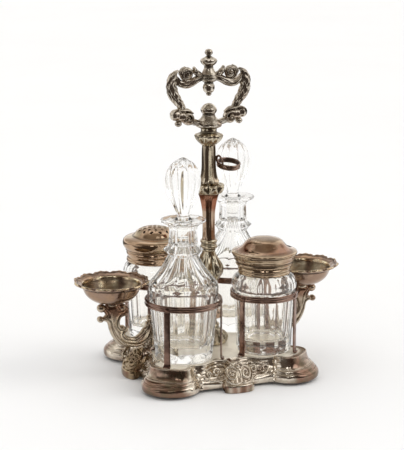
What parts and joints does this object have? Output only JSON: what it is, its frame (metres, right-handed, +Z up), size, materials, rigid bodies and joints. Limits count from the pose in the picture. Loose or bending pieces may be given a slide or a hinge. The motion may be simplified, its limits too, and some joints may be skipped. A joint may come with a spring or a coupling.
{
  "type": "cruet set",
  "caption": "Plated table cruet stand with a lobed base, baluster pillar and scroll handle, ring holders for cut glass bottles and lidded jars, and open salts on scroll arms.",
  "frame": {"origin": "on the table, under the pillar axis, at the underside of the four feet", "axes": "+Z up; X runs through the two open salts; -Y is the front side of the base, with a bottle at its left and the plain-lidded jar at its right"},
  "size_m": [0.2424, 0.159, 0.28],
  "materials": {
    "silver_plate": "polished, worn",
    "worn_plate": "polished, worn through to brown",
    "dark_plate": "tarnished satin",
    "copper_plate": "polished, copper showing through",
    "gilt_plate": "polished, gilt and tarnished",
    "steel": "satin",
    "crystal": "clear, cut"
  },
  "bodies": {
    "stand": {"base_plate": "silver_plate", "foot_front": "silver_plate", "foot_right": "silver_plate", "foot_back": "silver_plate", "foot_left": "silver_plate", "ring_fl": "dark_plate", "ring_fr": "dark_plate", "ring_bl": "dark_plate", "ring_br": "dark_plate", "upright_fl_1": "dark_plate", "upright_fl_2": "dark_plate", "upright_fl_3": "dark_plate", "upright_fr_1": "dark_plate", "upright_fr_2": "dark_plate", "upright_fr_3": "dark_plate", "upright_bl_1": "dark_plate", "upright_bl_2": "dark_plate", "upright_bl_3": "dark_plate", "upright_br_1": "dark_plate", "upright_br_2": "dark_plate", "upright_br_3": "dark_plate", "pillar_foot": "silver_plate", "pillar_stem": "worn_plate", "pillar_bell": "silver_plate", "pillar_band": "silver_plate", "pillar_shaft_lower": "worn_plate", "pillar_knop": "silver_plate", "pillar_shaft_upper": "silver_plate", "pillar_capital": "silver_plate", "handle": "silver_plate", "tie_rod": "steel", "tie_nut": "steel", "stopper_ring": "dark_plate", "salt_arm_left": "silver_plate", "salt_arm_right": "silver_plate", "arm_screw_left": "steel", "arm_screw_right": "steel", "salt_dish_left": "gilt_plate", "salt_dish_right": "gilt_plate"},
    "bottle_front_left": {"bottle_fl": "crystal"},
    "stopper_front_left": {"stopper_fl": "crystal"},
    "bottle_back_right": {"bottle_br": "crystal"},
    "stopper_back_right": {"stopper_br": "crystal"},
    "mustard_jar": {"jar_fr": "crystal", "jar_fr_collar": "copper_plate"},
    "mustard_lid": {"jar_fr_lid": "copper_plate"},
    "caster_jar": {"jar_bl": "crystal", "jar_bl_collar": "copper_plate"},
    "caster_lid": {"jar_bl_lid": "copper_plate"}
  },
  "joints": [
    {"name": "bottle_front_left_lift", "type": "slide", "parent": "stand", "child": "bottle_front_left", "axis": [0, 0, 1], "range_m": [0, 0.058]},
    {"name": "stopper_front_left_lift", "type": "slide", "parent": "bottle_front_left", "child": "stopper_front_left", "axis": [0, 0, 1], "range_m": [0, 0.022]},
    {"name": "bottle_back_right_lift", "type": "slide", "parent": "stand", "child": "bottle_back_right", "axis": [0, 0, 1], "range_m": [0, 0.058]},
    {"name": "stopper_back_right_lift", "type": "slide", "parent": "bottle_back_right", "child": "stopper_back_right", "axis": [0, 0, 1], "range_m": [0, 0.022]},
    {"name": "mustard_jar_lift", "type": "slide", "parent": "stand", "child": "mustard_jar", "axis": [0, 0, 1], "range_m": [0, 0.058]},
    {"name": "mustard_lid_lift", "type": "slide", "parent": "mustard_jar", "child": "mustard_lid", "axis": [0, 0, 1], "range_m": [0, 0.02]},
    {"name": "caster_jar_lift", "type": "slide", "parent": "stand", "child": "caster_jar", "axis": [0, 0, 1], "range_m": [0, 0.058]},
    {"name": "caster_lid_lift", "type": "slide", "parent": "caster_jar", "child": "caster_lid", "axis": [0, 0, 1], "range_m": [0, 0.02]}
  ]
}
